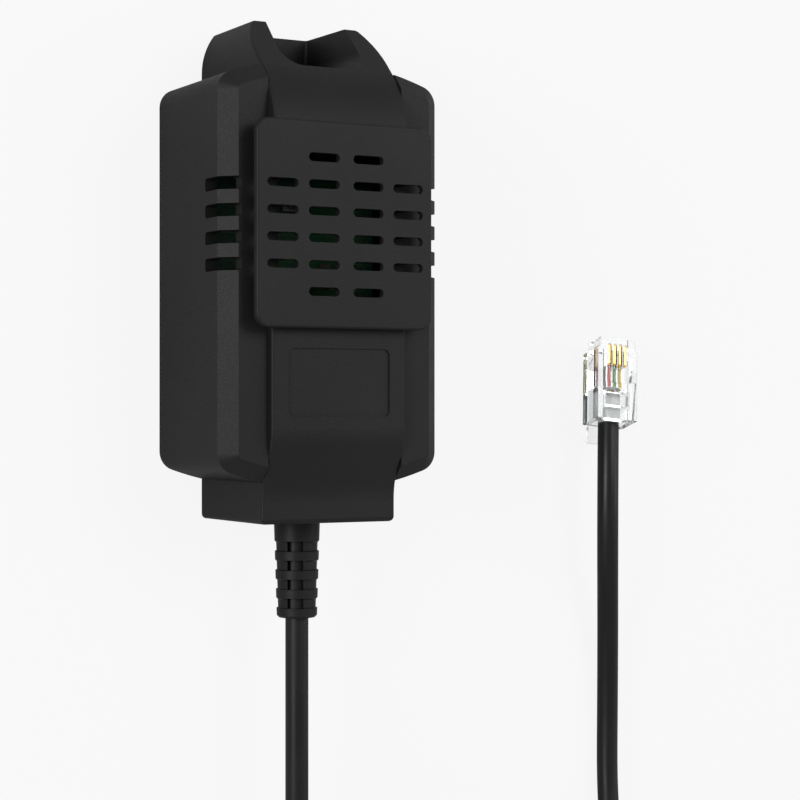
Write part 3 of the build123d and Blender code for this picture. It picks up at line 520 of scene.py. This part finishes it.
def makeBoard(name, s):
    material, tree, shader, place = startMaterial(name)
    tracks = useGroup(tree, "boardTracks", Place=place, Pitch_Scale=s["pitchScale"]).outputs["Tracks"]
    tone = useGroup(tree, "handling", Place=place, Plain=s["lacquer"], Faded=s["overTrack"], Dust=s["dust"])
    feed(tree, shader.inputs["Base Color"], mixColors(tree, tracks, tone.outputs["Color"], s["overTrack"]))
    feed(tree, shader.inputs["Roughness"], spread(tree, tone.outputs["Rubbed"], (0.0, 1.0), s["roughness"]))
    shader.inputs["Specular IOR Level"].default_value = s["specular"]
    addBump(tree, shader, tracks, s["bump"], s["depth"])
    return material


# gold-plated contacts, tinned pins and zinc-coated screws
metalSettings = {
    "contact": {"plain": (0.93, 0.6, 0.15, 1), "faded": (0.86, 0.5, 0.11, 1), "low": 0.14, "high": 0.26},
    "pin": {"plain": (0.75, 0.72, 0.66, 1), "faded": (0.62, 0.6, 0.56, 1), "low": 0.2, "high": 0.34},
    "screw": {"plain": (0.42, 0.42, 0.43, 1), "faded": (0.5, 0.5, 0.49, 1), "low": 0.28, "high": 0.42},
}
metalSkin = {"grain": 6500.0, "patchScale": 700.0, "bump": 0.1, "depth": 0.03 * mm}


def makeMetal(name, s):
    material, tree, shader, place = startMaterial(name)
    skin = useGroup(tree, "drawnSkin", Place=place, Grain=metalSkin["grain"], Low=s["low"], High=s["high"])
    tone = useGroup(
        tree, "handling", Place=place, Plain=s["plain"], Faded=s["faded"],
        Patch_Scale=metalSkin["patchScale"], Dust=0.0,
    )
    feed(tree, shader.inputs["Base Color"], tone.outputs["Color"])
    feed(tree, shader.inputs["Roughness"], skin.outputs["Roughness"])
    shader.inputs["Metallic"].default_value = 1.0
    addBump(tree, shader, skin.outputs["Height"], metalSkin["bump"], metalSkin["depth"])
    return material


# clear plug: polished plastic with the faint waves of its flow into the mould
clearSettings = {
    "color": (0.9, 0.915, 0.92, 1),
    "ior": 1.38,
    "low": 0.03,
    "high": 0.08,
    "waves": 420.0,
    "bump": 0.04,
    "depth": 0.2 * mm,
}


def makeClear(name, s):
    material, tree, shader, place = startMaterial(name)
    skin = useGroup(tree, "drawnSkin", Place=place, Grain=s["waves"], Low=s["low"], High=s["high"])
    feed(tree, shader.inputs["Roughness"], skin.outputs["Roughness"])
    shader.inputs["Base Color"].default_value = s["color"]
    shader.inputs["Transmission Weight"].default_value = 1.0
    shader.inputs["IOR"].default_value = s["ior"]
    addBump(tree, shader, skin.outputs["Height"], s["bump"], s["depth"])
    return material


materials = {
    "housing": makeMoulded("grainedShell", housingSettings),
    "cover": makeMoulded("grainedCover", coverSettings),
    "boot": makeMoulded("softBoot", bootSettings),
    "tie": makeMoulded("wovenTie", tieSettings),
    "chip": makeMoulded("chipBody", chipSettings),
    "header": makeMoulded("blackNylon", headerSettings),
    "small_part": makeMoulded("smallCeramic", smallPartSettings),
    "sensor_chip": makeMoulded("sensorCeramic", sensorChipSettings),
    "cord": makeDrawn("cordJacket", jacketSettings),
    "board": makeBoard("greenBoard", boardSettings),
    "clear_plug": makeClear("clearPlug", clearSettings),
}
for slotName, finish in coreSettings.items():
    materials[slotName] = makeDrawn(slotName.replace("core_", "wireCore_"), finish)
for slotName, finish in metalSettings.items():
    materials[slotName] = makeMetal(slotName + "Metal", finish)
print("materials made:", len(materials))

slotOfNode = {part["node"]: part["material_slot"] for part in frame["record"]["subparts"]}
for nodeName, node in frame["nodes"].items():
    finish = materials[slotOfNode[nodeName]]
    if not node.data.materials:
        node.data.materials.append(finish)
    for materialSlot in node.material_slots:
        materialSlot.material = finish
cord.data.materials.append(materials["cord"])
sleeve = makeSleeve("sleeveInPlug", sleeveSettings)
frame["nodes"]["plug_cable_end"].material_slots[0].material = sleeve
print("nodes dressed")


# pale floor: seen as near white, but it lights the part only as a grey one would
floorSettings = {
    "size": 6.0,
    "color": (0.52, 0.52, 0.52, 1),
    "roughness": 0.9,
    "specular": 0.1,
    "lift": 0.88,  # share of plain white where the camera or glass sees it
    "glossLift": 0.1,  # and where a gloss mirrors it
}
worldSettings = {"color": white, "strength": 0.32, "lift": 1.0, "glossLift": 0.29}


def whiteShare(tree, s):
    path = tree.nodes.new("ShaderNodeLightPath")
    seen = calc(tree, "MAXIMUM", path.outputs["Is Camera Ray"], path.outputs["Is Transmission Ray"])
    mirrored = calc(tree, "MULTIPLY", path.outputs["Is Glossy Ray"], s["glossLift"])
    return calc(tree, "MAXIMUM", calc(tree, "MULTIPLY", seen, s["lift"]), mirrored)


def makeFloor(s):
    bpy.ops.object.select_all(action="DESELECT")
    bpy.ops.mesh.primitive_plane_add(size=s["size"], location=(0, 0, 0))
    floor = bpy.context.active_object
    floor.name = "floor"
    material, tree, shader, _ = startMaterial("paleFloor")
    shader.inputs["Base Color"].default_value = s["color"]
    shader.inputs["Roughness"].default_value = s["roughness"]
    shader.inputs["Specular IOR Level"].default_value = s["specular"]
    plainWhite = addNode(tree, "ShaderNodeEmission", Color=white, Strength=1.0)
    mixed = addNode(
        tree, "ShaderNodeMixShader", in0=whiteShare(tree, s), in1=shader.outputs[0], in2=plainWhite.outputs[0]
    )
    feed(tree, tree.nodes["Material Output"].inputs["Surface"], mixed.outputs[0])
    floor.data.materials.append(material)


# places in metres, sizes in metres, strengths in watts
lampSettings = {
    "chamferLamp": {"place": (-0.82, 0.1, 0.45), "size": 0.4, "watts": 5.7},
    "topLamp": {"place": (0.35, 0.3, 0.75), "size": 0.5, "watts": 3.0},
    "rightLamp": {"place": (0.8, 0.05, 0.45), "size": 0.4, "watts": 1.0},
    "frontLamp": {"place": (0.15, -0.85, 0.4), "size": 0.6, "watts": 0.8},
}


def makeLamps():
    aim = Vector((0, 0, (cadLow.z + cadHigh.z) / 2))
    for name, s in lampSettings.items():
        lamp = bpy.data.lights.new(name, "AREA")
        lamp.shape = "DISK"
        lamp.size = s["size"]
        lamp.energy = s["watts"]
        holder = bpy.data.objects.new(name, lamp)
        holder.location = s["place"]
        holder.rotation_euler = (aim - Vector(s["place"])).to_track_quat("-Z", "Y").to_euler()
        bpy.context.scene.collection.objects.link(holder)


def makeWorld(s):
    world = bpy.data.worlds.new("studio")
    bpy.context.scene.world = world
    world.use_nodes = True
    tree = world.node_tree
    light = tree.nodes["Background"]
    light.inputs["Color"].default_value = s["color"]
    light.inputs["Strength"].default_value = s["strength"]
    plainWhite = addNode(tree, "ShaderNodeBackground", Color=white, Strength=1.0)
    mixed = addNode(
        tree, "ShaderNodeMixShader", in0=whiteShare(tree, s), in1=light.outputs[0], in2=plainWhite.outputs[0]
    )
    feed(tree, tree.nodes["World Output"].inputs["Surface"], mixed.outputs[0])


makeFloor(floorSettings)
makeLamps()
makeWorld(worldSettings)
bpy.context.scene.view_settings.view_transform = "Standard"
print("studio lit by", len(lampSettings), "lamps")
